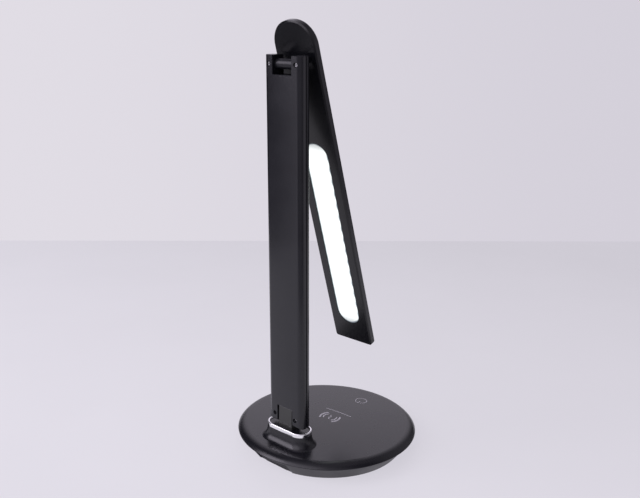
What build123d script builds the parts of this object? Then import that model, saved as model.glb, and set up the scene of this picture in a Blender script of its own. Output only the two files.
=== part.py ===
from build123d import *
from math import cos, radians, sin
import os

os.makedirs("parts", exist_ok=True)

# Folding desk lamp with a charging base. Millimetres, +Z up, -Y is the front.
# The origin is the centre of the base where it stands on the table.

# Base
rim_radius = 85.0
rim_height = 15.3
rim_round_reach = 0.3
rim_round_height = 0.7
rim_lip = 1.8
rim_groove = 1.0
shoulder_run = 8.2
crown_radius = rim_radius - shoulder_run
crown_height = 20.05
base_height = 21.0
ceiling_height = 18.0
ceiling_inset = 17.0
ceiling_radius = rim_radius - ceiling_inset
joint_height = 13.8
joint_land = 1.8
foot_inset = 12.5
foot_radius = rim_radius - foot_inset
foot_overhang = 0.6
floor_lift = 0.6
floor_wall = 2.0
tray_wall = 2.0

# Column and its two hinges
column_inset = 32.47
column_y = rim_radius - column_inset
lower_axis_height = 45.48
column_lean_angle = 1.56
column_width = 40.9
column_depth = 14.3
column_crown = 0.8
column_corner = 5.5
column_wall = 2.0
hinge_spacing = 311.15
column_rise = 7.15
column_top_chamfer = 0.4
ear_drop = 0.5 * column_depth
ear_round = 3.0
slot_edge_chamfer = 0.3
seam_groove_width = 1.0
seam_groove_depth = 0.9
seam_lip_thickness = 1.2
seam_lip_rise = 1.6
seam_lip_gap = 0.2
seam_lip_root = 0.5
upper_slot_width = 20.8
upper_slot_drop = 8.4
lower_slot_width = 18.2
lower_slot_rise = 9.5
slot_web = 7.5
hinge_pin_radius = 2.0
hinge_pin_end_cover = 2.5
running_clearance = 0.05
seat_clearance = 0.02
washer_gap = 0.2
washer_radius = 4.2
set_screw_radius = 1.7
set_screw_hole_radius = 2.0
upper_screw_sink = 1.5
upper_screw_reach = 14.7
lower_screw_sink = 2.6
lower_screw_reach = 12.2

# Foot knuckle, boss and collar ring
tongue_width = 15.6
tongue_depth = 12.1
tongue_rise = 9.1
tongue_round = 2.5
tongue_root = 1.0
knuckle_width = 36.0
knuckle_top = 31.0
knuckle_corner = 2.8
flange_width = 54.0
flange_depth = 22.0
flange_thickness = 1.8
flange_corner = 7.0
knuckle_clearance = 0.2
knuckle_screw_reach = 21.2
boss_top = 33.8
boss_flare = 6.7
boss_root = 0.1
boss_sections = 6
ring_width = 47.2
ring_depth = 21.0
ring_band = 1.9
ring_bottom = 31.4
ring_height = 3.5
ring_flat = 0.2
ring_round = 0.5 * (ring_band - ring_flat)

# Head, measured from its hinge axis
head_open_angle = 16.5
head_width = 44.0
head_reach = 282.5
head_top = 31.4
head_end_radius = 20.5
head_corner = 3.2
light_face = 11.3
head_thickness = 7.0
frame_thickness = 1.7
frame_chamfer = 1.1
frame_lip = 1.2
frame_lip_thickness = 1.0
head_wall = 1.6
head_back_round = 2.0
arm_width = 19.4
barrel_radius = 4.2
neck_top = -0.5
neck_height = 3.7
arm_plate_width = 30.0
arm_plate_height = 26.0
arm_plate_thickness = 1.4
arm_screw_x = 11.0
arm_screw_z = 9.0
arm_post_rise = 1.2
arm_post_radius = 2.6
arm_screw_radius = 0.8
arm_screw_hole_radius = 1.0
arm_screw_head_radius = 1.8
arm_screw_head_height = 0.8
arm_screw_grip = 1.8
arm_plate_corner = 2.0

# Light panel
panel_near = 74.2
panel_far = 261.6
panel_width = 26.2
panel_recess = 1.0
panel_clearance = 0.15
panel_flange = 1.5
panel_flange_thickness = 1.0
board_thickness = 1.0
led_length = 3.5
led_width = 2.8
led_height = 0.7
led_spacing = 11.6
led_row = 8.6
led_count = 16
reflector_wall = 1.2

# Parts inside the base
pad_inset = 2.5
pad_width = 16.0
pad_outer = foot_radius - pad_inset
pad_inner = pad_outer - pad_width
pad_thickness = 1.2
pad_recess_margin = 2.0
coil_y = -18.0
coil_outer = 21.5
coil_inner = 10.0
coil_thickness = 1.2
ferrite_radius = 25.0
ferrite_thickness = 0.8
touch_inset = 28.0
touch_y = touch_inset - rim_radius
touch_radius = 7.0
touch_thickness = 1.0
cover_screw_inset = 10.5
cover_screw_reach = foot_radius - cover_screw_inset
cover_post_radius = 3.6
cover_pad_radius = 4.6
cover_pad_height = 2.0
screw_hole_radius = 1.3
screw_radius = 1.25
screw_head_radius = 2.6
screw_head_height = 1.6
screw_grip = 7.0
screw_hole_spare = 1.0
knuckle_screw_grip = 6.0

# Ports at the back of the base
port_inset = 16.0
port_wall_y = rim_radius - port_inset
port_wall = 2.0
recess_width = 40.0
recess_roof = 1.2
circuit_width = 50.0
circuit_depth = 36.0
circuit_near = port_wall_y - port_wall - circuit_depth
circuit_thickness = 1.6
circuit_lift = 1.6
standoff_radius = 2.5
standoff_inset = 4.5
usb_x = -9.5
usb_width = 13.1
usb_height = 5.7
usb_wall = 0.35
usb_depth = 14.0
usb_back_wall = 2.0
usb_tongue_width = 11.1
usb_tongue_height = 1.8
usb_tongue_setback = 1.0
usb_tongue_level = 0.62
jack_x = 9.5
jack_width = 9.0
jack_height = 6.8
jack_depth = 13.0
jack_hole_radius = 2.75
jack_pin_radius = 1.0
jack_bore_depth = 9.5
jack_window_margin = 0.3
port_clearance = 0.15

# Ballast between the screw posts and in front of the board
ballast_gap = 2.4
ballast_radius = cover_screw_reach - cover_pad_radius - ballast_gap
ballast_thickness = 4.0
ballast_cut = circuit_near - ballast_gap

# Wiring inside the column
ribbon_width = 8.0
ribbon_thickness = 1.2
ribbon_end_gap = 0.3


def leaning(y, z, angle):
    """Frame of a bar that leans back from upright by an angle, about an axis at (y, z)."""
    return Plane(origin=(0, y, z), x_dir=(1, 0, 0), z_dir=(0, sin(radians(angle)), cos(radians(angle))))


def facing_front(bar, depth):
    """Plane parallel to a bar's broad faces and facing forward, this far behind its hinge axis."""
    return Plane(origin=bar.from_local_coords(Vector(0, depth, 0)), x_dir=bar.x_dir, z_dir=-bar.y_dir)


def facing_side(bar, x=0):
    """Plane of a bar's side profile, facing +X. Its own x runs backward and its own y up the bar."""
    return Plane(origin=bar.from_local_coords(Vector(x, 0, 0)), x_dir=bar.y_dir, z_dir=bar.x_dir)


def edges_in(shapes, plane):
    """Edges whose middle lies in a plane."""
    return [edge for edge in shapes.edges() if abs(plane.to_local_coords(edge.center()).Z) < 0.02]


def finish(builder, name):
    """Labels a finished piece and writes it."""
    builder.part.label = name
    export_step(builder.part, f"parts/{name}.step")


column = leaning(column_y, lower_axis_height, column_lean_angle)
head_origin = column.from_local_coords(Vector(0, 0, hinge_spacing))
head = leaning(head_origin.Y, head_origin.Z, column_lean_angle + head_open_angle)
knuckle = Plane(origin=(0, column_y, lower_axis_height))

# Base top shell: a crowned disc that rolls down to a sharp rim, with an oval boss behind.
tray_top_radius = rim_radius - rim_lip - foot_overhang
boss_base = crown_height - boss_root
post_bottom = floor_lift + floor_wall + cover_pad_height
with BuildPart() as base_top_shell:
    with BuildSketch(Plane.XZ):
        with BuildLine():
            crown = TangentArc((0, base_height), (crown_radius, crown_height), tangent=(1, 0))
            shoulder = TangentArc(
                crown @ 1,
                (rim_radius - rim_round_reach, rim_height + rim_round_height),
                tangent=crown % 1,
            )
            rim = TangentArc(shoulder @ 1, (rim_radius, rim_height), tangent=shoulder % 1)
            Polyline(
                rim @ 1,
                (tray_top_radius - rim_groove, rim_height),
                (tray_top_radius - rim_groove, joint_height),
                (tray_top_radius - rim_groove - joint_land, joint_height),
                (tray_top_radius - rim_groove - joint_land, joint_height + 0.5 * joint_land),
                (ceiling_radius, ceiling_height),
                (0, ceiling_height),
                (0, base_height),
            )
        make_face()
    revolve(axis=Axis.Z)
    for section in range(boss_sections + 1):
        around = radians(90 * section / boss_sections)
        flare = boss_flare * (1 - cos(around))
        with BuildSketch(Plane.XY.offset(ring_bottom - (ring_bottom - boss_base) * sin(around))):
            with Locations((0, column_y)):
                SlotOverall(ring_width + 2 * flare, ring_depth + 2 * flare)
    loft()
    with BuildSketch(Plane.XY.offset(ring_bottom)):
        with Locations((0, column_y)):
            SlotOverall(
                ring_width - 2 * ring_band - 2 * seat_clearance,
                ring_depth - 2 * ring_band - 2 * seat_clearance,
            )
    extrude(amount=boss_top - ring_bottom)
    with BuildSketch(Plane.XY.offset(ceiling_height)):
        with Locations((0, column_y)):
            RectangleRounded(
                knuckle_width + 2 * knuckle_clearance,
                tongue_depth + 2 * knuckle_clearance,
                knuckle_corner + knuckle_clearance,
            )
    extrude(amount=knuckle_top - ceiling_height, mode=Mode.SUBTRACT)
    with BuildSketch(Plane.XY.offset(ceiling_height)):
        with Locations((0, column_y)):
            Rectangle(tongue_width + 2 * knuckle_clearance, tongue_depth + 2 * knuckle_clearance)
    extrude(amount=boss_top - ceiling_height, mode=Mode.SUBTRACT)
    with BuildSketch(Plane.XY.offset(post_bottom)):
        with PolarLocations(cover_screw_reach, 4, start_angle=45):
            Circle(cover_post_radius)
    extrude(amount=ceiling_height - post_bottom)
    with BuildSketch(Plane.XY.offset(post_bottom)):
        with PolarLocations(cover_screw_reach, 4, start_angle=45):
            Circle(screw_hole_radius)
    extrude(amount=screw_grip + screw_hole_spare, mode=Mode.SUBTRACT)
    with BuildSketch(Plane.XY.offset(ceiling_height)):
        with Locations((0, column_y)):
            with GridLocations(2 * knuckle_screw_reach, 0, 2, 1):
                Circle(screw_hole_radius)
    extrude(amount=knuckle_screw_grip + screw_hole_spare, mode=Mode.SUBTRACT)
finish(base_top_shell, "base_top_shell")

# Bottom tray: an undercut dish with a recessed wall behind that holds the ports.
tray_floor_top = floor_lift + floor_wall
circuit_bottom = tray_floor_top + circuit_lift
circuit_top = circuit_bottom + circuit_thickness
with BuildPart() as tray_hollow:
    with BuildSketch(Plane.XZ):
        Polygon(
            (0, tray_floor_top),
            (foot_radius - tray_wall, tray_floor_top),
            (tray_top_radius - tray_wall, joint_height),
            (0, joint_height),
            align=None,
        )
    revolve(axis=Axis.Z)
    with BuildSketch(Plane.XY.offset(tray_floor_top)):
        with Locations((0, port_wall_y - port_wall)):
            Rectangle(
                recess_width + 2 * port_wall, rim_radius - port_wall_y, align=(Align.CENTER, Align.MIN)
            )
    extrude(amount=joint_height, mode=Mode.SUBTRACT)
with BuildPart() as base_bottom_cover:
    with BuildSketch(Plane.XZ):
        Polygon(
            (0, floor_lift),
            (foot_radius, floor_lift),
            (tray_top_radius, joint_height),
            (0, joint_height),
            align=None,
        )
    revolve(axis=Axis.Z)
    add(tray_hollow.part, mode=Mode.SUBTRACT)
    with BuildSketch(Plane.XY):
        with Locations((0, port_wall_y)):
            Rectangle(recess_width, rim_radius - port_wall_y, align=(Align.CENTER, Align.MIN))
    extrude(amount=joint_height - recess_roof, mode=Mode.SUBTRACT)
    with BuildSketch(Plane.XY.offset(tray_floor_top)):
        with PolarLocations(cover_screw_reach, 4, start_angle=45):
            Circle(cover_pad_radius)
    extrude(amount=cover_pad_height)
    with BuildSketch(Plane.XY.offset(tray_floor_top)):
        with Locations((0, circuit_near + 0.5 * circuit_depth)):
            with GridLocations(
                circuit_width - 2 * standoff_inset, circuit_depth - 2 * standoff_inset, 2, 2
            ):
                Circle(standoff_radius)
    extrude(amount=circuit_lift)
    with BuildSketch(Plane.XY):
        Circle(pad_outer)
        Circle(pad_inner, mode=Mode.SUBTRACT)
        with Locations((0, port_wall_y)):
            Rectangle(
                recess_width + 2 * pad_recess_margin,
                rim_radius,
                align=(Align.CENTER, Align.MIN),
                mode=Mode.SUBTRACT,
            )
    extrude(amount=pad_thickness, mode=Mode.SUBTRACT)
    with BuildSketch(Plane.XY):
        with PolarLocations(cover_screw_reach, 4, start_angle=45):
            Circle(screw_head_radius + port_clearance)
    extrude(amount=post_bottom - screw_head_height, mode=Mode.SUBTRACT)
    with BuildSketch(Plane.XY):
        with PolarLocations(cover_screw_reach, 4, start_angle=45):
            Circle(screw_hole_radius)
    extrude(amount=post_bottom, mode=Mode.SUBTRACT)
    with BuildSketch(Plane.XZ.offset(-port_wall_y)):
        with Locations((usb_x, circuit_top + 0.5 * usb_height)):
            Rectangle(usb_width + 2 * port_clearance, usb_height + 2 * port_clearance)
        with Locations((jack_x, circuit_top + 0.5 * jack_height)):
            Circle(jack_hole_radius + jack_window_margin)
    extrude(amount=port_wall, mode=Mode.SUBTRACT)
finish(base_bottom_cover, "base_bottom_cover")

# Rubber pad that the lamp stands on. It fills its groove and hides the cover screws.
with BuildPart() as foot_ring:
    with BuildSketch(Plane.XY):
        Circle(pad_outer - port_clearance)
        Circle(pad_inner + port_clearance, mode=Mode.SUBTRACT)
        with Locations((0, port_wall_y - port_clearance)):
            Rectangle(
                recess_width + 2 * pad_recess_margin + 2 * port_clearance,
                rim_radius,
                align=(Align.CENTER, Align.MIN),
                mode=Mode.SUBTRACT,
            )
    extrude(amount=pad_thickness)
finish(foot_ring, "foot_ring")

# Screws that hold the bottom tray to the posts of the top shell.
with BuildPart() as cover_screws:
    with BuildSketch(Plane.XY.offset(post_bottom - 2 * screw_head_height)):
        with PolarLocations(cover_screw_reach, 4, start_angle=45):
            Circle(screw_head_radius)
    extrude(amount=screw_head_height)
    with BuildSketch(Plane.XY.offset(post_bottom - screw_head_height)):
        with PolarLocations(cover_screw_reach, 4, start_angle=45):
            Circle(screw_radius)
    extrude(amount=screw_head_height + screw_grip)
finish(cover_screws, "cover_screws")

# Steel ballast plate on the tray floor, cut straight behind to leave room for the board.
with BuildPart() as ballast_plate:
    with BuildSketch(Plane.XY.offset(tray_floor_top)):
        Circle(ballast_radius)
        with Locations((0, ballast_cut)):
            Rectangle(
                2 * ballast_radius, ballast_radius, align=(Align.CENTER, Align.MIN), mode=Mode.SUBTRACT
            )
    extrude(amount=ballast_thickness)
finish(ballast_plate, "ballast_plate")

# Charging coil and its ferrite plate, glued under the top.
with BuildPart() as charging_coil:
    with BuildSketch(Plane.XY.offset(ceiling_height - coil_thickness)):
        with Locations((0, coil_y)):
            Circle(coil_outer)
            Circle(coil_inner, mode=Mode.SUBTRACT)
    extrude(amount=coil_thickness)
finish(charging_coil, "charging_coil")

with BuildPart() as ferrite_plate:
    with BuildSketch(Plane.XY.offset(ceiling_height - coil_thickness - ferrite_thickness)):
        with Locations((0, coil_y)):
            Circle(ferrite_radius)
    extrude(amount=ferrite_thickness)
finish(ferrite_plate, "ferrite_plate")

# Touch sensor pad under the power mark.
with BuildPart() as touch_sensor:
    with BuildSketch(Plane.XY.offset(ceiling_height - touch_thickness)):
        with Locations((0, touch_y)):
            Circle(touch_radius)
    extrude(amount=touch_thickness)
finish(touch_sensor, "touch_sensor")

# Circuit board on four stand-offs, with the two ports at its back edge.
with BuildPart() as control_board:
    with BuildSketch(Plane.XY.offset(circuit_bottom)):
        with Locations((0, circuit_near)):
            Rectangle(circuit_width, circuit_depth, align=(Align.CENTER, Align.MIN))
    extrude(amount=circuit_thickness)
finish(control_board, "control_board")

with BuildPart() as usb_socket:
    with BuildSketch(Plane.XZ.offset(-port_wall_y)):
        with Locations((usb_x, circuit_top + 0.5 * usb_height)):
            Rectangle(usb_width, usb_height)
    extrude(amount=usb_depth)
    with BuildSketch(Plane.XZ.offset(-port_wall_y)):
        with Locations((usb_x, circuit_top + 0.5 * usb_height)):
            Rectangle(usb_width - 2 * usb_wall, usb_height - 2 * usb_wall)
    extrude(amount=usb_depth - usb_back_wall, mode=Mode.SUBTRACT)
    with BuildSketch(Plane.XZ.offset(-port_wall_y + usb_tongue_setback)):
        with Locations((usb_x, circuit_top + usb_tongue_level * usb_height)):
            Rectangle(usb_tongue_width, usb_tongue_height)
    extrude(amount=usb_depth - 0.5 * usb_back_wall - usb_tongue_setback)
finish(usb_socket, "usb_socket")

with BuildPart() as dc_jack:
    with BuildSketch(Plane.XZ.offset(-port_wall_y + port_wall + port_clearance)):
        with Locations((jack_x, circuit_top + 0.5 * jack_height)):
            Rectangle(jack_width, jack_height)
    extrude(amount=jack_depth)
    with BuildSketch(Plane.XZ.offset(-port_wall_y)):
        with Locations((jack_x, circuit_top + 0.5 * jack_height)):
            Circle(jack_hole_radius)
    extrude(amount=jack_bore_depth, mode=Mode.SUBTRACT)
    with BuildSketch(Plane.XZ.offset(-port_wall_y + port_wall)):
        with Locations((jack_x, circuit_top + 0.5 * jack_height)):
            Circle(jack_pin_radius)
    extrude(amount=jack_bore_depth)
finish(dc_jack, "dc_jack")

# Foot knuckle: a flange under the top shell, a block inside the boss and the hinge tongue.
with BuildPart() as foot_knuckle:
    with BuildSketch(Plane.XY.offset(ceiling_height - flange_thickness)):
        with Locations((0, column_y)):
            RectangleRounded(flange_width, flange_depth, flange_corner)
    extrude(amount=flange_thickness)
    with BuildSketch(Plane.XY.offset(ceiling_height)):
        with Locations((0, column_y)):
            RectangleRounded(knuckle_width, tongue_depth, knuckle_corner)
    extrude(amount=knuckle_top - ceiling_height - knuckle_clearance)
    with BuildSketch(facing_side(knuckle)):
        Circle(tongue_rise)
        Rectangle(tongue_depth, 2 * tongue_rise, mode=Mode.INTERSECT)
        Rectangle(0.5 * tongue_depth, tongue_rise, align=(Align.MIN, Align.MIN))
        Rectangle(
            tongue_depth, lower_axis_height - knuckle_top + tongue_root, align=(Align.CENTER, Align.MAX)
        )
        fillet(vertices().sort_by(Axis((0, 0), (1, 1)))[-1], tongue_round)
    extrude(amount=0.5 * tongue_width, both=True)
    with BuildSketch(facing_side(knuckle)):
        Circle(hinge_pin_radius + running_clearance)
    extrude(amount=tongue_width, both=True, mode=Mode.SUBTRACT)
    with BuildSketch(Plane.XY.offset(ceiling_height - flange_thickness)):
        with Locations((0, column_y)):
            with GridLocations(2 * knuckle_screw_reach, 0, 2, 1):
                Circle(screw_hole_radius + port_clearance)
    extrude(amount=flange_thickness, mode=Mode.SUBTRACT)
finish(foot_knuckle, "foot_knuckle")

with BuildPart() as knuckle_screws:
    with BuildSketch(Plane.XY.offset(ceiling_height - flange_thickness - screw_head_height)):
        with Locations((0, column_y)):
            with GridLocations(2 * knuckle_screw_reach, 0, 2, 1):
                Circle(screw_head_radius)
    extrude(amount=screw_head_height)
    with BuildSketch(Plane.XY.offset(ceiling_height - flange_thickness)):
        with Locations((0, column_y)):
            with GridLocations(2 * knuckle_screw_reach, 0, 2, 1):
                Circle(screw_radius)
    extrude(amount=flange_thickness + knuckle_screw_grip)
finish(knuckle_screws, "knuckle_screws")

# Bright collar ring on the shoulder of the boss.
with BuildPart() as collar_ring:
    with BuildSketch(Plane.XY.offset(ring_bottom)):
        with Locations((0, column_y)):
            SlotOverall(ring_width, ring_depth)
            SlotOverall(ring_width - 2 * ring_band, ring_depth - 2 * ring_band, mode=Mode.SUBTRACT)
    extrude(amount=ring_height)
    fillet(edges_in(collar_ring, Plane.XY.offset(ring_bottom + ring_height)), ring_round)
finish(collar_ring, "collar_ring")

# Column: a flat tube with a fork at each end, made as two half shells.
cavity_bottom = lower_slot_rise + slot_web
cavity_top = hinge_spacing - upper_slot_drop - slot_web
column_top = hinge_spacing + column_rise
pin_reach = 0.5 * column_width - hinge_pin_end_cover
with BuildPart() as column_body:
    with BuildSketch(column.offset(-ear_drop)):
        with BuildLine():
            back_arc = ThreePointArc(
                (-0.5 * column_width, 0.5 * column_depth - column_crown),
                (0, 0.5 * column_depth),
                (0.5 * column_width, 0.5 * column_depth - column_crown),
            )
            front_arc = ThreePointArc(
                (0.5 * column_width, column_crown - 0.5 * column_depth),
                (0, -0.5 * column_depth),
                (-0.5 * column_width, column_crown - 0.5 * column_depth),
            )
            Line(back_arc @ 1, front_arc @ 0)
            Line(front_arc @ 1, back_arc @ 0)
        make_face()
        fillet(vertices(), column_corner)
    extrude(amount=column_top + ear_drop)
    with BuildSketch(facing_side(column)):
        with Locations((0, -ear_drop)):
            Rectangle(column_depth, column_top + ear_drop, align=(Align.CENTER, Align.MIN))
        fillet(vertices().group_by(Axis.Y)[0], ear_round)
    extrude(amount=column_width, both=True, mode=Mode.INTERSECT)
    with BuildSketch(column.offset(cavity_bottom)):
        RectangleRounded(
            column_width - 2 * column_wall, column_depth - 2 * column_wall, column_corner - column_wall
        )
    extrude(amount=cavity_top - cavity_bottom, mode=Mode.SUBTRACT)
    with BuildSketch(facing_front(column, 0)):
        with Locations((0, hinge_spacing - upper_slot_drop)):
            Rectangle(
                upper_slot_width, 2 * upper_slot_drop + column_rise, align=(Align.CENTER, Align.MIN)
            )
        with Locations((0, lower_slot_rise)):
            Rectangle(
                lower_slot_width, lower_slot_rise + column_depth, align=(Align.CENTER, Align.MAX)
            )
    extrude(amount=column_depth, both=True, mode=Mode.SUBTRACT)
    slot_edges = [
        edge
        for edge in column_body.edges().filter_by(Axis(column.origin, column.z_dir))
        if abs(column.to_local_coords(edge.center()).Y) > 0.5 * column_depth - column_crown
        and abs(edge.center().X) < 0.5 * upper_slot_width + column_wall
    ]
    chamfer(slot_edges, slot_edge_chamfer)
    chamfer(edges_in(column_body, column.offset(column_top)), column_top_chamfer)
    with BuildSketch(column.offset(-ear_drop)):
        with GridLocations(column_width, 0, 2, 1):
            Rectangle(2 * seam_groove_depth, seam_groove_width)
    extrude(amount=column_top + ear_drop, mode=Mode.SUBTRACT)
    with BuildSketch(facing_side(column)):
        with Locations((0, 0), (0, hinge_spacing)):
            Circle(hinge_pin_radius + seat_clearance)
    extrude(amount=pin_reach + seat_clearance, both=True, mode=Mode.SUBTRACT)
    with BuildSketch(facing_front(column, 0.5 * column_depth)):
        with Locations((0, 0)):
            with GridLocations(2 * lower_screw_reach, 0, 2, 1):
                Circle(set_screw_hole_radius)
        with Locations((0, hinge_spacing)):
            with GridLocations(2 * upper_screw_reach, 0, 2, 1):
                Circle(set_screw_hole_radius)
    extrude(amount=0.5 * column_depth, mode=Mode.SUBTRACT)

seam = facing_front(column, 0)
with BuildPart() as column_back_shell:
    add(column_body.part)
    split(bisect_by=seam, keep=Keep.BOTTOM)
finish(column_back_shell, "column_back_shell")

lip_spacing = column_width - 2 * column_wall - 2 * seam_lip_gap - seam_lip_thickness
lip_depth = seam_lip_rise + 0.5 * column_depth - column_wall - seam_lip_root
with BuildPart() as column_front_cover:
    add(column_body.part)
    split(bisect_by=seam, keep=Keep.TOP)
    with BuildSketch(column.offset(cavity_bottom + slot_web)):
        with Locations((0, seam_lip_rise)):
            with GridLocations(lip_spacing, 0, 2, 1):
                Rectangle(seam_lip_thickness, lip_depth, align=(Align.CENTER, Align.MAX))
    extrude(amount=cavity_top - cavity_bottom - 2 * slot_web)
finish(column_front_cover, "column_front_cover")

# Flat wiring on the inside of the column's back wall.
with BuildPart() as column_wiring:
    with BuildSketch(column.offset(cavity_bottom + ribbon_end_gap)):
        with Locations((0, 0.5 * column_depth - column_wall)):
            Rectangle(ribbon_width, ribbon_thickness, align=(Align.CENTER, Align.MAX))
    extrude(amount=cavity_top - cavity_bottom - 2 * ribbon_end_gap)
finish(column_wiring, "column_wiring")

# Hinge pins, held in the ears by set screws from behind.
hinges = (
    ("lower", 0, lower_slot_width, tongue_width, lower_screw_reach, lower_screw_sink),
    ("upper", hinge_spacing, upper_slot_width, arm_width, upper_screw_reach, upper_screw_sink),
)
for hinge_name, height, slot_width, middle_width, screw_reach, screw_sink in hinges:
    with BuildPart() as hinge_pin:
        with BuildSketch(facing_side(column)):
            with Locations((0, height)):
                Circle(hinge_pin_radius)
        extrude(amount=pin_reach, both=True)
    finish(hinge_pin, f"{hinge_name}_hinge_pin")

    washer_start = 0.5 * middle_width + washer_gap
    with BuildPart() as washers:
        for side in (-1, 1):
            with BuildSketch(facing_side(column, side * washer_start)):
                with Locations((0, height)):
                    Circle(washer_radius)
                    Circle(hinge_pin_radius + seat_clearance, mode=Mode.SUBTRACT)
            extrude(amount=side * (0.5 * slot_width - washer_start))
    finish(washers, f"{hinge_name}_washers")

    with BuildPart() as set_screws:
        with BuildSketch(facing_front(column, 0.5 * column_depth - screw_sink)):
            with Locations((0, height)):
                with GridLocations(2 * screw_reach, 0, 2, 1):
                    Circle(set_screw_radius)
        extrude(amount=0.5 * column_depth - screw_sink - hinge_pin_radius - seat_clearance)
    finish(set_screws, f"{hinge_name}_set_screws")

# Head: a slim bar made of a back shell and a light-side frame.
parting = light_face + frame_thickness
back_face = light_face + head_thickness
inner_back = back_face - head_wall
panel_face = light_face + panel_recess
panel_length = panel_far - panel_near
panel_middle = -0.5 * (panel_near + panel_far)
plate_front = inner_back - arm_post_rise
plate_back = plate_front - arm_plate_thickness


def head_outline(inset=0):
    """Outline of the head in the current sketch: round at the hinge end, square at the far end."""
    with Locations((0, 0.5 * (head_top - head_reach))):
        Rectangle(head_width - 2 * inset, head_top + head_reach - 2 * inset)
    fillet(vertices().group_by(Axis.Y)[-1], head_end_radius - inset)
    fillet(vertices().group_by(Axis.Y)[0], head_corner - inset)


def panel_outline(grow=0):
    """Obround of the light panel in the current sketch, grown all round."""
    with Locations((0, panel_middle)):
        SlotOverall(panel_length + 2 * grow, panel_width + 2 * grow, rotation=90)


with BuildPart() as head_back_shell:
    with BuildSketch(facing_front(head, -parting)):
        head_outline()
    extrude(amount=back_face - parting)
    fillet(edges_in(head_back_shell, facing_front(head, -back_face)), head_back_round)
    with BuildSketch(facing_front(head, -parting)):
        head_outline(head_wall)
    extrude(amount=inner_back - parting, mode=Mode.SUBTRACT)
    with BuildSketch(facing_front(head, -plate_front)):
        with GridLocations(2 * arm_screw_x, 2 * arm_screw_z, 2, 2):
            Circle(arm_post_radius)
    extrude(amount=inner_back - plate_front)
    with BuildSketch(facing_front(head, -plate_front)):
        with GridLocations(2 * arm_screw_x, 2 * arm_screw_z, 2, 2):
            Circle(arm_screw_radius + seat_clearance)
    extrude(amount=arm_screw_grip + seat_clearance, mode=Mode.SUBTRACT)
finish(head_back_shell, "head_back_shell")

with BuildPart() as head_light_frame:
    with BuildSketch(facing_front(head, -light_face)):
        head_outline()
    extrude(amount=frame_thickness)
    chamfer(edges_in(head_light_frame, facing_front(head, -light_face)), frame_chamfer)
    with BuildSketch(facing_front(head, -parting)):
        head_outline(head_wall + panel_clearance)
    extrude(amount=frame_lip)
    with BuildSketch(facing_front(head, -parting)):
        head_outline(head_wall + panel_clearance + frame_lip_thickness)
    extrude(amount=frame_lip, mode=Mode.SUBTRACT)
    with BuildSketch(facing_front(head, -light_face)):
        panel_outline()
        with Locations((0, neck_top - 0.5 * neck_height)):
            Rectangle(arm_width + 2 * panel_clearance, neck_height + 2 * panel_clearance)
    extrude(amount=frame_thickness, mode=Mode.SUBTRACT)
finish(head_light_frame, "head_light_frame")

# Hinge arm: a barrel between the upper ears, a neck and a plate inside the head.
with BuildPart() as head_arm:
    with BuildSketch(facing_side(head)):
        Circle(barrel_radius)
        with Locations((0, neck_top)):
            Rectangle(plate_back, neck_height, align=(Align.MAX, Align.MAX))
    extrude(amount=0.5 * arm_width, both=True)
    with BuildSketch(facing_front(head, -plate_back)):
        RectangleRounded(arm_plate_width, arm_plate_height, arm_plate_corner)
    extrude(amount=arm_plate_thickness)
    with BuildSketch(facing_side(head)):
        Circle(hinge_pin_radius + running_clearance)
    extrude(amount=arm_width, both=True, mode=Mode.SUBTRACT)
    with BuildSketch(facing_front(head, -plate_back)):
        with GridLocations(2 * arm_screw_x, 2 * arm_screw_z, 2, 2):
            Circle(arm_screw_hole_radius)
    extrude(amount=arm_plate_thickness, mode=Mode.SUBTRACT)
finish(head_arm, "head_arm")

with BuildPart() as head_arm_screws:
    with BuildSketch(facing_front(head, -(plate_back - arm_screw_head_height))):
        with GridLocations(2 * arm_screw_x, 2 * arm_screw_z, 2, 2):
            Circle(arm_screw_head_radius)
    extrude(amount=arm_screw_head_height)
    with BuildSketch(facing_front(head, -plate_back)):
        with GridLocations(2 * arm_screw_x, 2 * arm_screw_z, 2, 2):
            Circle(arm_screw_radius)
    extrude(amount=arm_plate_thickness + arm_screw_grip)
finish(head_arm_screws, "head_arm_screws")

# Light panel: a milky diffuser over a reflector wall, a strip board and two rows of emitters.
board_face = inner_back - board_thickness
flange_front = parting + panel_flange_thickness
with BuildPart() as diffuser:
    with BuildSketch(facing_front(head, -panel_face)):
        panel_outline(-panel_clearance)
    extrude(amount=parting - panel_face)
    with BuildSketch(facing_front(head, -parting)):
        panel_outline(panel_flange)
    extrude(amount=panel_flange_thickness)
finish(diffuser, "diffuser")

with BuildPart() as reflector:
    with BuildSketch(facing_front(head, -flange_front)):
        panel_outline(panel_flange)
        with Locations((0, panel_middle)):
            SlotOverall(
                panel_length + 2 * (panel_flange - reflector_wall),
                panel_width + 2 * (panel_flange - reflector_wall),
                rotation=90,
                mode=Mode.SUBTRACT,
            )
    extrude(amount=board_face - flange_front)
finish(reflector, "reflector")

with BuildPart() as led_board:
    with BuildSketch(facing_front(head, -board_face)):
        panel_outline(panel_flange)
    extrude(amount=board_thickness)
finish(led_board, "led_board")

with BuildPart() as led_chips:
    with BuildSketch(facing_front(head, -(board_face - led_height))):
        with Locations((0, panel_middle)):
            with GridLocations(2 * led_row, led_spacing, 2, led_count):
                Rectangle(led_width, led_length)
    extrude(amount=led_height)
finish(led_chips, "led_chips")
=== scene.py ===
import math

import bmesh
import bpy
from mathutils import Matrix, Vector


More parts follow.
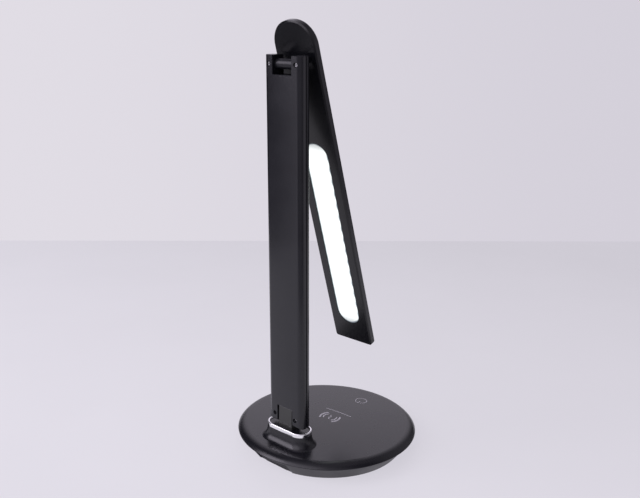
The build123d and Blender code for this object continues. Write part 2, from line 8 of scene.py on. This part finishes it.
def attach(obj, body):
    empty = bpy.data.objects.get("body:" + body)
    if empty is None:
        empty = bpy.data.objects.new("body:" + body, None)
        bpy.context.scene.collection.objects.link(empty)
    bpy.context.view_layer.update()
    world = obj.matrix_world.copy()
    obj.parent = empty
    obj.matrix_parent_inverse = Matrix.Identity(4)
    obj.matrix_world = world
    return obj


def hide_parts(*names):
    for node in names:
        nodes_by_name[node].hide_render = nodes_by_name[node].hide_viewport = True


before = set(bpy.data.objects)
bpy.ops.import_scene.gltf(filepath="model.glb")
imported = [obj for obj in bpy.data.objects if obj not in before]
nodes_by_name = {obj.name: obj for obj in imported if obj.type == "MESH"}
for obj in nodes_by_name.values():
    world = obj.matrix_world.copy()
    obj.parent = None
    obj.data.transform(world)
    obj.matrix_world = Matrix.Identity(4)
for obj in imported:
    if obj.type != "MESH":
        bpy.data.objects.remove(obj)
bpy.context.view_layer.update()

MM = 0.001


def linear(red, green, blue):
    """Linear colour of a screen colour given in steps of 255."""
    return tuple(
        (v / 255 / 12.92) if v <= 10 else ((v / 255 + 0.055) / 1.055) ** 2.4 for v in (red, green, blue)
    )


# Camera

picture_width = 640
picture_height = 498
focal_pixels = 811.91
camera_distance = 738.67 * MM
camera_turn = math.radians(220.78)
camera_rise = math.radians(15.35)
camera_roll = math.radians(1.3)
aim_across = -10.34 * MM
aim_height = 190.77 * MM

back = Vector((
    math.sin(camera_turn) * math.cos(camera_rise),
    -math.cos(camera_turn) * math.cos(camera_rise),
    math.sin(camera_rise),
))
right = Vector((math.cos(camera_turn), math.sin(camera_turn), 0))
up = back.cross(right)
camera_place = right * aim_across + Vector((0, 0, aim_height)) + back * camera_distance
rolled_right = right * math.cos(camera_roll) + up * math.sin(camera_roll)
rolled_up = up * math.cos(camera_roll) - right * math.sin(camera_roll)

camera_data = bpy.data.cameras.new("camera")
camera_data.sensor_width = 36
camera_data.lens = focal_pixels * camera_data.sensor_width / picture_width
camera_data.clip_start = 0.01
camera_data.clip_end = 50
camera = bpy.data.objects.new("camera", camera_data)
turn = Matrix((rolled_right, rolled_up, back)).transposed().to_4x4()
camera.matrix_world = Matrix.Translation(camera_place) @ turn
bpy.context.collection.objects.link(camera)
bpy.context.scene.camera = camera
bpy.context.scene.view_settings.view_transform = "Standard"

view_flat = Vector((-back.x, -back.y, 0)).normalized()


# Mesh building

weld_distance = 1e-7


def bar_frame(y, z, lean):
    """Matrix of a bar that leans back by an angle in degrees: x across, y backward, z up the bar."""
    tilt = Matrix.Rotation(-math.radians(lean), 4, "X")
    return Matrix.Translation(Vector((0, y * MM, z * MM))) @ tilt


def piece(name, build, body, material, place=None, smooth_angle=35):
    """Makes a mesh object from a bmesh function, with its material and the body it rides on."""
    bm = bmesh.new()
    build(bm)
    bmesh.ops.remove_doubles(bm, verts=bm.verts, dist=weld_distance)
    bmesh.ops.recalc_face_normals(bm, faces=bm.faces)
    mesh = bpy.data.meshes.new(name)
    bm.to_mesh(mesh)
    bm.free()
    mesh.materials.append(material)
    if place is not None:
        mesh.transform(place)
    for polygon in mesh.polygons:
        polygon.use_smooth = True
    mesh.set_sharp_from_angle(angle=math.radians(smooth_angle))
    made = bpy.data.objects.new(name, mesh)
    bpy.context.collection.objects.link(made)
    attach(made, body)
    return made


def loft(bm, rings, cap_first=True, cap_last=True):
    """Skins a list of closed rings of equal length, and caps its ends."""
    loops = [[bm.verts.new(point) for point in ring] for ring in rings]
    for lower, upper in zip(loops, loops[1:]):
        for i in range(len(lower)):
            j = (i + 1) % len(lower)
            bm.faces.new((lower[i], lower[j], upper[j], upper[i]))
    if cap_first:
        bm.faces.new(list(reversed(loops[0])))
    if cap_last:
        bm.faces.new(loops[-1])


def circle(radius, depth, count=36):
    """Points on a level circle at a depth."""
    ring = []
    for i in range(count):
        angle = 2 * math.pi * i / count
        ring.append(Vector((radius * math.cos(angle), radius * math.sin(angle), depth)))
    return ring


def hexagon(across, depth, count=36):
    """Points on a hexagon at the same angles as those of a circle."""
    ring = []
    for i in range(count):
        angle = 2 * math.pi * i / count
        off = (angle + math.pi / 6) % (math.pi / 3) - math.pi / 6
        reach = 0.5 * across / math.cos(off)
        ring.append(Vector((reach * math.cos(angle), reach * math.sin(angle), depth)))
    return ring


# Materials

class Surface:
    """A node material on the Principled shader, with procedural detail in the object's own space."""

    def __init__(self, name, roughness, metallic=0.0, specular=0.5):
        self.material = bpy.data.materials.new(name)
        self.material.use_nodes = True
        self.nodes = self.material.node_tree.nodes
        self.links = self.material.node_tree.links
        self.shader = self.nodes["Principled BSDF"]
        self.shader.inputs["Roughness"].default_value = roughness
        self.shader.inputs["Metallic"].default_value = metallic
        self.shader.inputs["Specular IOR Level"].default_value = specular
        self.place = self.nodes.new("ShaderNodeTexCoord").outputs["Object"]
        self.normal = None

    def stretched(self, scale, turn=(0, 0, 0)):
        """Object coordinates scaled by axis, for detail that runs one way."""
        mapping = self.nodes.new("ShaderNodeMapping")
        mapping.inputs["Scale"].default_value = scale
        mapping.inputs["Rotation"].default_value = turn
        self.links.new(self.place, mapping.inputs["Vector"])
        return mapping.outputs["Vector"]

    def noise(self, scale, detail=3.0, roughness=0.55, vector=None):
        node = self.nodes.new("ShaderNodeTexNoise")
        node.inputs["Scale"].default_value = scale
        node.inputs["Detail"].default_value = detail
        node.inputs["Roughness"].default_value = roughness
        self.links.new(vector or self.place, node.inputs["Vector"])
        return node.outputs["Fac"]

    def math(self, operation, first, second=None, third=None):
        node = self.nodes.new("ShaderNodeMath")
        node.operation = operation
        for i, value in enumerate((first, second, third)):
            if value is None:
                continue
            if isinstance(value, (int, float)):
                node.inputs[i].default_value = value
            else:
                self.links.new(value, node.inputs[i])
        return node.outputs["Value"]

    def distance(self, first, second):
        """Length of the diagonal of two lengths at right angles."""
        squares = self.math("ADD", self.math("MULTIPLY", first, first), self.math("MULTIPLY", second, second))
        return self.math("SQRT", squares)

    def along(self, direction, origin=(0, 0, 0)):
        """How far a point lies from an origin along a direction, in metres."""
        shift = self.nodes.new("ShaderNodeVectorMath")
        shift.operation = "SUBTRACT"
        self.links.new(self.place, shift.inputs[0])
        shift.inputs[1].default_value = origin
        dot = self.nodes.new("ShaderNodeVectorMath")
        dot.operation = "DOT_PRODUCT"
        self.links.new(shift.outputs["Vector"], dot.inputs[0])
        dot.inputs[1].default_value = direction
        return dot.outputs["Value"]

    def spread(self, value, low, high, from_low=0.3, from_high=0.7, smooth=False):
        """Maps a value from one range to another, by default from the middle range of noise."""
        node = self.nodes.new("ShaderNodeMapRange")
        if smooth:
            node.interpolation_type = "SMOOTHSTEP"
        self.links.new(value, node.inputs["Value"])
        node.inputs["From Min"].default_value = from_low
        node.inputs["From Max"].default_value = from_high
        node.inputs["To Min"].default_value = low
        node.inputs["To Max"].default_value = high
        return node.outputs["Result"]

    def blend(self, factor, first, second):
        """Mix of two colours, each a colour or a socket."""
        node = self.nodes.new("ShaderNodeMix")
        node.data_type = "RGBA"
        self.links.new(factor, node.inputs["Factor"])
        for socket, value in ((node.inputs[6], first), (node.inputs[7], second)):
            if isinstance(value, tuple):
                socket.default_value = (*value, 1)
            else:
                self.links.new(value, socket)
        return node.outputs[2]

    def colour(self, socket):
        self.links.new(socket, self.shader.inputs["Base Color"])
        return self

    def gloss(self, socket):
        self.links.new(socket, self.shader.inputs["Roughness"])
        return self

    def bump(self, height, distance, strength=1.0):
        node = self.nodes.new("ShaderNodeBump")
        node.inputs["Distance"].default_value = distance
        node.inputs["Strength"].default_value = strength
        self.links.new(height, node.inputs["Height"])
        if self.normal is not None:
            self.links.new(self.normal, node.inputs["Normal"])
        self.normal = node.outputs["Normal"]
        self.links.new(self.normal, self.shader.inputs["Normal"])
        return self


# Plastics: the sizes of grain and patches are in millimetres.
speck_size = 1.6
patch_share = 0.7
speck_share = 0.3


def plastic(
    name, dark, light, roughness, grain=0.35, grain_depth=0.012, patch=28.0, gloss_spread=0.06, specular=0.5
):
    """Moulded plastic: fine spark grain, and slow changes of tone and gloss."""
    s = Surface(name, roughness, specular=specular)
    slow = s.noise(1000 / patch, detail=4)
    tone = s.noise(1000 / speck_size, detail=2)
    mottle = s.math("ADD", s.math("MULTIPLY", slow, patch_share), s.math("MULTIPLY", tone, speck_share))
    s.colour(s.blend(s.spread(mottle, 0, 1), dark, light))
    s.gloss(s.spread(slow, roughness - gloss_spread, roughness + gloss_spread))
    s.bump(s.noise(1000 / grain, detail=2), grain_depth * MM)
    return s


satin_dark = (0.0072, 0.0074, 0.0105)
satin_light = (0.0115, 0.0118, 0.0160)
column_plastic = plastic("column_plastic", satin_dark, satin_light, 0.24, gloss_spread=0.03)

# Fine scratches that run across the bar near its top.
scratch_stretch = (70, 70, 2600)
scratch_from = 0.66
scratch_full = 0.80
scratch_zone_start = 290 * MM
scratch_zone_full = 345 * MM
scratch_depth = 0.02 * MM
scratch_field = column_plastic.noise(1.0, detail=2, vector=column_plastic.stretched(scratch_stretch))
scratch = column_plastic.spread(scratch_field, 0, 1, scratch_from, scratch_full)
scratch_reach = column_plastic.spread(
    column_plastic.along((0, 0, 1)), 0, 1, scratch_zone_start, scratch_zone_full, smooth=True
)
column_plastic.bump(column_plastic.math("MULTIPLY", scratch, scratch_reach), scratch_depth, 0.8)

frame_plastic = plastic(
    "frame_plastic", (0.0045, 0.0047, 0.0062), (0.0072, 0.0076, 0.0098), 0.24,
    gloss_spread=0.03, specular=0.42,
)
arm_plastic = plastic("arm_plastic", satin_dark, satin_light, 0.36)
base_plastic = plastic(
    "base_plastic", (0.0085, 0.0085, 0.0115), (0.0115, 0.0115, 0.0155), 0.27,
    grain_depth=0.0015, gloss_spread=0.012,
)
tray_plastic = plastic("tray_plastic", (0.026, 0.026, 0.029), (0.034, 0.034, 0.038), 0.42, specular=0.38)
knuckle_plastic = plastic("knuckle_plastic", (0.026, 0.027, 0.026), (0.034, 0.035, 0.033), 0.36)
port_plastic = plastic("port_plastic", (0.008, 0.008, 0.009), (0.012, 0.012, 0.013), 0.30)
rubber = plastic("rubber", (0.012, 0.012, 0.013), (0.020, 0.020, 0.021), 0.78, grain=0.6, grain_depth=0.03)
wire_cover = plastic("wire_cover", (0.20, 0.20, 0.21), (0.26, 0.26, 0.27), 0.55)
board_white = plastic("board_white", (0.72, 0.73, 0.72), (0.80, 0.80, 0.79), 0.40)
reflector_white = plastic("reflector_white", (0.80, 0.81, 0.82), (0.86, 0.86, 0.87), 0.55)
ferrite = plastic(
    "ferrite", (0.045, 0.043, 0.042), (0.075, 0.072, 0.070), 0.62, grain=0.5, grain_depth=0.02
)


def metal(name, dark, light, roughness, streak=(400, 400, 30), gloss_spread=0.05, bump_depth=0.004):
    """Plated or turned metal with fine streaks and uneven polish."""
    s = Surface(name, roughness, metallic=1.0)
    lines = s.noise(1.0, detail=4, vector=s.stretched(streak))
    s.colour(s.blend(s.spread(lines, 0, 1), dark, light))
    s.gloss(s.spread(s.noise(120, detail=3), roughness - gloss_spread, roughness + gloss_spread))
    s.bump(lines, bump_depth * MM)
    return s


chrome = metal(
    "chrome", (0.86, 0.86, 0.88), (0.94, 0.94, 0.95), 0.10, streak=(300, 300, 900), gloss_spread=0.03
)
steel = metal("steel", (0.46, 0.46, 0.47), (0.62, 0.62, 0.63), 0.26)
ballast_steel = metal("ballast_steel", (0.30, 0.30, 0.31), (0.42, 0.42, 0.43), 0.42, streak=(20, 500, 20))
port_steel = metal("port_steel", (0.50, 0.50, 0.51), (0.60, 0.60, 0.61), 0.24)

# Copper winding: fine turns about the coil's centre.
coil_centre = (0, -18 * MM, 0)
winding_pitch = 0.8 * MM
winding_depth = 0.1 * MM
copper = Surface("copper", 0.32, metallic=1.0)
across = copper.along((1, 0, 0), coil_centre)
deep = copper.along((0, 1, 0), coil_centre)
from_centre = copper.distance(across, deep)
turns = copper.math("SINE", copper.math("MULTIPLY", from_centre, 2 * math.pi / winding_pitch))
# The copper is darker in the valleys between turns, where the bump sinks: painted shade.
copper.colour(copper.blend(copper.spread(turns, 0, 1, -1, 1), (0.45, 0.16, 0.07), (0.78, 0.36, 0.20)))
copper.bump(turns, winding_depth)

# Circuit board: solder mask over tracks.
track_density = 420
track_gap = 0.012
track_depth = 0.03 * MM
circuit = Surface("circuit", 0.38)
cells = circuit.nodes.new("ShaderNodeTexBrick")
cells.inputs["Scale"].default_value = track_density
cells.inputs["Mortar Size"].default_value = track_gap
circuit.links.new(circuit.place, cells.inputs["Vector"])
circuit.colour(circuit.blend(cells.outputs["Fac"], (0.010, 0.065, 0.030), (0.030, 0.13, 0.06)))
circuit.bump(cells.outputs["Fac"], track_depth)

# Emitters: yellow phosphor under clear resin, lit.
emitter = Surface("emitter", 0.30)
phosphor = emitter.spread(emitter.noise(900), 0, 1)
emitter.colour(emitter.blend(phosphor, (0.78, 0.66, 0.20), (0.90, 0.80, 0.36)))
emitter.shader.inputs["Emission Color"].default_value = (1.0, 0.96, 0.88, 1)
emitter.shader.inputs["Emission Strength"].default_value = 1.5

# Light panel: a milky cover, lit from behind by two rows of emitters. Sizes as in the CAD part.
head_axis_y = 61.001
head_axis_height = 356.515
head_lean = 18.06
panel_near = 74.2
panel_far = 261.6
panel_half_width = 12.95
panel_middle = -0.5 * (panel_near + panel_far)
panel_straight = 0.5 * (panel_far - panel_near) - panel_half_width
panel_half_length = panel_straight + panel_half_width

# The glow: its edge dips in at each gap between emitters, deeper toward -X. Lengths in millimetres.
scallop_pitch = 11.6
scallop_deep = 1.2
scallop_shallow = 0.2
scallop_change = 6
glow_edge_start = -0.6
glow_edge_full = 1.4
fade_start = 9
fade_stop = 1
glow_at_end = 0.50
glow_at_edge = 0.15

head_frame = bar_frame(head_axis_y, head_axis_height, head_lean)
head_up = tuple(head_frame.to_3x3() @ Vector((0, 0, 1)))
head_origin = tuple(head_frame.translation)
diffuser = Surface("diffuser", 0.35)
height = diffuser.along(head_up, head_origin)
sideways = diffuser.along((1, 0, 0), head_origin)
from_middle = diffuser.math("SUBTRACT", height, panel_middle * MM)
far_out = diffuser.math("ABSOLUTE", from_middle)
beyond = diffuser.math("MAXIMUM", diffuser.math("SUBTRACT", far_out, panel_straight * MM), 0)
edge = diffuser.math("SUBTRACT", panel_half_width * MM, diffuser.distance(beyond, sideways))
wave = diffuser.math("COSINE", diffuser.math("MULTIPLY", from_middle, 2 * math.pi / (scallop_pitch * MM)))
one_side = diffuser.spread(
    sideways, scallop_deep * MM, scallop_shallow * MM, -scallop_change * MM, scallop_change * MM
)
scallop = diffuser.math("MULTIPLY", diffuser.spread(wave, 0.0, 1.0, -1, 1), one_side)
lit = diffuser.spread(
    diffuser.math("SUBTRACT", edge, scallop), 0.0, 1.0, glow_edge_start * MM, glow_edge_full * MM, smooth=True
)
end_fade = diffuser.spread(
    far_out, 1.0, glow_at_end, (panel_half_length - fade_start) * MM, (panel_half_length - fade_stop) * MM,
    smooth=True,
)
glow_colour = diffuser.blend(lit, (0.40, 0.55, 0.60), (0.95, 1.0, 0.98))
glow_level = diffuser.math("MULTIPLY", diffuser.spread(lit, glow_at_edge, 1.0, 0, 1), end_fade)
# The cover's base colour is lighter where it glows: painted light from the emitters behind it.
diffuser.colour(diffuser.blend(lit, (0.30, 0.34, 0.37), (0.40, 0.42, 0.42)))
diffuser.links.new(glow_colour, diffuser.shader.inputs["Emission Color"])
diffuser.links.new(glow_level, diffuser.shader.inputs["Emission Strength"])
diffuser.bump(diffuser.noise(2500, detail=2), 0.01 * MM)

# Pale grey print on the base.
print_ink = plastic("print_ink", (0.58, 0.57, 0.61), (0.72, 0.71, 0.75), 0.50)

materials = {
    "base_top_shell": base_plastic,
    "base_bottom_cover": tray_plastic,
    "foot_ring": rubber,
    "cover_screws": steel,
    "ballast_plate": ballast_steel,
    "charging_coil": copper,
    "ferrite_plate": ferrite,
    "touch_sensor": circuit,
    "control_board": circuit,
    "usb_socket": port_steel,
    "dc_jack": port_plastic,
    "foot_knuckle": knuckle_plastic,
    "knuckle_screws": steel,
    "collar_ring": chrome,
    "column_back_shell": column_plastic,
    "column_front_cover": column_plastic,
    "column_wiring": wire_cover,
    "lower_hinge_pin": steel,
    "lower_washers": port_plastic,
    "lower_set_screws": steel,
    "upper_hinge_pin": steel,
    "upper_washers": port_plastic,
    "upper_set_screws": steel,
    "head_arm": arm_plastic,
    "head_arm_screws": steel,
    "head_back_shell": column_plastic,
    "head_light_frame": frame_plastic,
    "diffuser": diffuser,
    "reflector": reflector_white,
    "led_board": board_white,
    "led_chips": emitter,
}
for node_name, node in nodes_by_name.items():
    for material_slot in node.material_slots:
        material_slot.material = materials[node_name].material

# The meshes below are built in millimetres, and scaled when they are placed.
in_metres = Matrix.Scale(MM, 4)


# Set screws with a hexagon socket and bevelled ends.

column_y = 52.53
lower_axis_height = 45.48
column_lean = 1.56
column_frame = bar_frame(column_y, lower_axis_height, column_lean)
column_depth = 14.3
pin_radius = 2.02
set_screw_radius = 1.7
socket_across = 1.7
socket_depth = 1.3
socket_rim = 0.16
socket_rim_depth = 0.08
socket_tip_radius = 0.15
socket_tip_depth = 0.35
end_bevel = 0.25
tip_bevel = 0.5
screw_turn = 0.3
# Name, height above the lower axis, reach from the middle, and sink below the back face.
hinges = (("lower", 0, 12.2, 2.6), ("upper", 311.15, 14.7, 1.5))


def socket_screw(bm, length):
    """A set screw that points along -Z with its socketed end at the origin, in millimetres."""
    loft(bm, [
        circle(set_screw_radius - tip_bevel, -length),
        circle(set_screw_radius, -length + tip_bevel),
        circle(set_screw_radius, -end_bevel),
        circle(set_screw_radius - end_bevel, 0),
        hexagon(socket_across + socket_rim, 0),
        hexagon(socket_across, -socket_rim_depth),
        hexagon(socket_across, -socket_depth),
        circle(socket_tip_radius, -socket_depth - socket_tip_depth),
    ])


for hinge_name, hinge_height, screw_reach, screw_sink in hinges:
    def screws(bm, hinge_height=hinge_height, screw_reach=screw_reach, screw_sink=screw_sink):
        facing_back = Matrix.Rotation(-math.pi / 2, 4, "X")
        depth = 0.5 * column_depth - screw_sink
        for side in (-1, 1):
            single = bmesh.new()
            socket_screw(single, depth - pin_radius)
            seat = Matrix.Translation(Vector((side * screw_reach, depth, hinge_height)))
            single.transform(seat @ facing_back @ Matrix.Rotation(screw_turn * side, 4, "Z"))
            part_mesh = bpy.data.meshes.new("part")
            single.to_mesh(part_mesh)
            single.free()
            bm.from_mesh(part_mesh)
            bpy.data.meshes.remove(part_mesh)

    made = piece(
        f"{hinge_name}_socket_screws", screws, "column", steel.material, column_frame @ in_metres
    )
    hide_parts(f"{hinge_name}_set_screws")


# Printed marks on the base top, in millimetres.

crown_height = 21.0
crown_radius = 76.8
crown_fall = 0.95
print_rise = 0.03


def crown(x, y, rise=0.0):
    """Point of the crowned base top, raised by a little."""
    return Vector((x, y, crown_height - crown_fall / crown_radius ** 2 * (x * x + y * y) + rise))


def ribbon(bm, points, width):
    """A thin closed strip of print along a line on the base top."""
    rings = []
    for i, point in enumerate(points):
        ahead = Vector(points[min(i + 1, len(points) - 1)])
        behind = Vector(points[max(i - 1, 0)])
        run = (ahead - behind).normalized()
        side = Vector((-run.y, run.x)) * 0.5 * width
        one, other = Vector(point) + side, Vector(point) - side
        rings.append([
            crown(*one, -print_rise),
            crown(*other, -print_rise),
            crown(*other, print_rise),
            crown(*one, print_rise),
        ])
    loft(bm, rings)


def arc(centre, radius, start, end, count=24):
    """Points on an arc between two angles in degrees."""
    points = []
    for i in range(count + 1):
        angle = math.radians(start + (end - start) * i / count)
        points.append((centre[0] + radius * math.cos(angle), centre[1] + radius * math.sin(angle)))
    return points


power_centre = (1.0, -54.6)
power_radius = 5.7
power_arc = (115, 425)
power_line = 0.6
power_stem_start = 1.8
power_stem_end = 6.6
power_stem_width = 0.8


def power_mark(bm):
    x, y = power_centre
    ribbon(bm, arc(power_centre, power_radius, *power_arc), power_line)
    ribbon(bm, [(x, y + power_stem_start), (x, y + power_stem_end)], power_stem_width)


charging_centre = (0.3, -5.0)
wave_arcs = ((6.4, 1.2), (9.6, 1.7))
wave_half_angle = 42
bolt = [(2.0, -8.6), (-0.7, -5.2), (1.5, -5.0), (-1.4, -1.2)]
bolt_width = 0.9
rule_start = (15.3, -17.5)
rule_run = (-29.4, -2.2)
rule_sag = 0.4
rule_width = 0.7
rule_steps = 12


def charging_mark(bm):
    """The thin line in front of the charging sign, its two pairs of arcs and its bolt."""
    rule = []
    for i in range(rule_steps + 1):
        sag = rule_sag * math.sin(math.pi * i / rule_steps)
        x = rule_start[0] + rule_run[0] * i / rule_steps
        y = rule_start[1] + rule_run[1] * i / rule_steps - sag
        rule.append((x, y))
    ribbon(bm, rule, rule_width)
    for radius, width in wave_arcs:
        ribbon(bm, arc(charging_centre, radius, -wave_half_angle, wave_half_angle), width)
        ribbon(bm, arc(charging_centre, radius, 180 - wave_half_angle, 180 + wave_half_angle), width)
    ribbon(bm, bolt, bolt_width)


piece("power_mark", power_mark, "base", print_ink.material, in_metres)
piece("charging_mark", charging_mark, "base", print_ink.material, in_metres)


# Floor: a pale table top. Its far edge is level in the picture.

edge_left_down = 240.5
edge_right_down = 241.5
bright_across = 150
bright_down = 487
dim_across = 500
dim_down = 251
# Strength of the floor's painted light, at its bright near left and its dim far right.
painted_light_near = 0.62
painted_light_far = 0.51
floor_overhang = 0.16
floor_length = 1.15
floor_thickness = 0.02


def on_floor(across, down):
    """Point of the floor that is seen at a place in the picture, in pixels from its top left."""
    ray = (
        rolled_right * (across - 0.5 * picture_width)
        - rolled_up * (down - 0.5 * picture_height)
        - back * focal_pixels
    )
    return camera_place - ray * (camera_place.z / ray.z)


# The table top is a lit one, so that shadows on it stay faint, as in the photograph.
floor = Surface("floor_paper", 0.85, specular=0.1)
floor_mottle = floor.spread(floor.noise(6, detail=5), 0, 1)
floor.colour(floor.blend(floor_mottle, (0.190, 0.194, 0.189), (0.205, 0.209, 0.204)))
# The floor's emission is painted light: it keeps shadows on the table faint and fades from brighter at the
# near left to dimmer at the far right.
floor.shader.inputs["Emission Color"].default_value = (1.0, 0.965, 1.065, 1)
bright_corner = on_floor(bright_across, bright_down)
dim_corner = on_floor(dim_across, dim_down)
fade_run = (dim_corner - bright_corner).length
fade = floor.along(tuple((dim_corner - bright_corner) / fade_run), tuple(bright_corner))
painted_floor_light = floor.spread(fade, painted_light_near, painted_light_far, 0, fade_run)
floor.links.new(painted_floor_light, floor.shader.inputs["Emission Strength"])
floor.bump(floor.noise(900, detail=3), 0.02 * MM)

seen_left = on_floor(0, edge_left_down)
seen_right = on_floor(picture_width, edge_right_down)
edge_run = (seen_right - seen_left).normalized()
edge_depth = Vector((edge_run.y, -edge_run.x, 0))
if edge_depth.dot(back) < 0:
    edge_depth = -edge_depth
far_left = seen_left - edge_run * floor_overhang
far_right = seen_right + edge_run * floor_overhang
corners = [
    far_left, far_right, far_right + edge_depth * floor_length, far_left + edge_depth * floor_length
]
underside = [corner - Vector((0, 0, floor_thickness)) for corner in corners]
floor_mesh = bpy.data.meshes.new("floor")
floor_bm = bmesh.new()
loft(floor_bm, [underside, corners])
bmesh.ops.recalc_face_normals(floor_bm, faces=floor_bm.faces)
floor_bm.to_mesh(floor_mesh)
floor_bm.free()
floor_mesh.materials.append(floor.material)
floor_object = bpy.data.objects.new("floor", floor_mesh)
bpy.context.collection.objects.link(floor_object)

# Backdrop and the soft light around the lamp

world = bpy.data.worlds.new("studio")
bpy.context.scene.world = world
world.use_nodes = True
world_nodes = world.node_tree.nodes
world_links = world.node_tree.links
background = world_nodes["Background"]
direction = world_nodes.new("ShaderNodeTexCoord").outputs["Generated"]


def toward(vector, low, high, from_low, from_high):
    """A value that changes smoothly as a direction turns toward a vector."""
    dot = world_nodes.new("ShaderNodeVectorMath")
    dot.operation = "DOT_PRODUCT"
    world_links.new(direction, dot.inputs[0])
    dot.inputs[1].default_value = vector
    spread = world_nodes.new("ShaderNodeMapRange")
    spread.interpolation_type = "SMOOTHSTEP"
    world_links.new(dot.outputs["Value"], spread.inputs["Value"])
    for key, value in (("From Min", from_low), ("From Max", from_high), ("To Min", low), ("To Max", high)):
        spread.inputs[key].default_value = value
    return spread.outputs["Result"]


def mixed(factor, first, second):
    """Mix of two colours of the surroundings, each a colour or a socket."""
    node = world_nodes.new("ShaderNodeMix")
    node.data_type = "RGBA"
    world_links.new(factor, node.inputs["Factor"])
    for socket, value in ((node.inputs[6], first), (node.inputs[7], second)):
        if isinstance(value, tuple):
            socket.default_value = (*value, 1)
        else:
            world_links.new(value, socket)
    return node.outputs[2]


def heading(turn, rise):
    """Direction given by its turn from the camera toward the picture's right, and its rise, in degrees."""
    level = -view_flat * math.cos(math.radians(turn)) + right * math.sin(math.radians(turn))
    return level * math.cos(math.radians(rise)) + Vector((0, 0, math.sin(math.radians(rise))))


# Soft patches of light: turn, rise, reach and strength.
patches = (
    (-45, 38, 38, 1.57),
    (75, -12, 35, 0.63),
    (180, 38, 38, 0.60),
    (0, 8, 60, 0.34),
    (180, 12, 38, 0.47),
    (-62, -10, 27, 0.66),
    (-88, -12, 32, 0.14),
    (0, 88, 34, 0.35),
    (0, 38, 38, 0.30),
    (110, 30, 42, 0.35),
)


def glow(turn, rise, reach, strength):
    """A patch of the surroundings that fades out at its reach, in degrees."""
    return toward(tuple(heading(turn, rise)), 0, strength, math.cos(math.radians(reach)), 1)


wall_left = linear(225, 221, 229)
wall_right = linear(212, 208, 218)
wall_change = 0.42
light_colour = (1.0, 0.94, 1.07)
backdrop = mixed(toward(tuple(right), 0, 1, -wall_change, wall_change), wall_left, wall_right)
total = None
for patch in patches:
    amount = glow(*patch)
    if total is not None:
        adding = world_nodes.new("ShaderNodeMath")
        world_links.new(total, adding.inputs[0])
        world_links.new(amount, adding.inputs[1])
        amount = adding.outputs["Value"]
    total = amount
surround = world_nodes.new("ShaderNodeVectorMath")
surround.operation = "SCALE"
surround.inputs[0].default_value = light_colour
world_links.new(total, surround.inputs["Scale"])
seen = world_nodes.new("ShaderNodeLightPath").outputs["Is Camera Ray"]
world_links.new(mixed(seen, surround.outputs["Vector"], backdrop), background.inputs["Color"])
background.inputs["Strength"].default_value = 1.0


def softbox(name, turn, distance, height, width, depth, power):
    """A rectangular light that faces the lamp, placed by its turn from the camera."""
    data = bpy.data.lights.new(name, "AREA")
    data.shape = "RECTANGLE"
    data.size = width
    data.size_y = depth
    data.energy = power
    data.color = light_colour
    light = bpy.data.objects.new(name, data)
    light.location = heading(turn, 0) * distance + Vector((0, 0, height))
    light.rotation_mode = "QUATERNION"
    light.rotation_quaternion = (-light.location).to_track_quat("-Z", "Y")
    bpy.context.collection.objects.link(light)


softbox("left", turn=-80, distance=1.5, height=0.9, width=0.8, depth=1.2, power=10.0)
